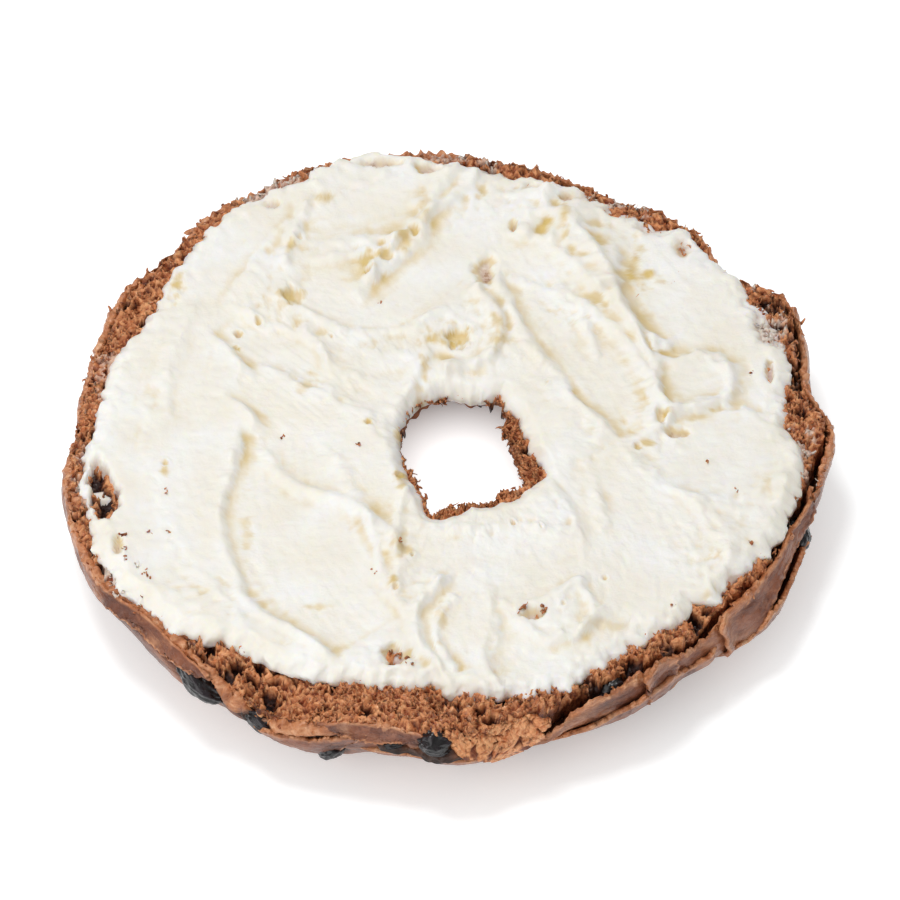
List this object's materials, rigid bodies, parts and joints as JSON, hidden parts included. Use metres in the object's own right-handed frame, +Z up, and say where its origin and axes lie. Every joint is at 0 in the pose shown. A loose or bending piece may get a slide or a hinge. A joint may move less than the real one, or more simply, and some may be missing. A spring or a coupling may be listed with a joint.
{
  "type": "bagel half with cream cheese",
  "caption": "Round bagel half with an off-centre hole, cut face up under a knife-spread layer of cream cheese, raisins in the dark crust, resting on its flat base.",
  "frame": {"origin": "centre of the bounding box's bottom, on the plane that the flat base rests on", "axes": "+Z up, out of the cut face; +X and +Y lie in the plane of the ring, with the widest strip of bare crumb on the -Y side"},
  "size_m": [0.1107, 0.112, 0.0184],
  "materials": {
    "baked_dough": "dark baked crust with a satin sheen, and open red-brown crumb at the cut",
    "cream_cheese": "moist, soft, knife-spread, ivory white",
    "raisin_skin": "wrinkled black-brown skin with a sticky gloss"
  },
  "bodies": {
    "root": {"bagel_half": "baked_dough", "cream_cheese": "cream_cheese", "raisin_1": "raisin_skin", "raisin_2": "raisin_skin", "raisin_3": "raisin_skin", "raisin_4": "raisin_skin", "raisin_5": "raisin_skin", "raisin_6": "raisin_skin", "raisin_7": "raisin_skin", "raisin_8": "raisin_skin", "raisin_9": "raisin_skin", "raisin_10": "raisin_skin", "raisin_11": "raisin_skin", "raisin_12": "raisin_skin"}
  },
  "joints": []
}
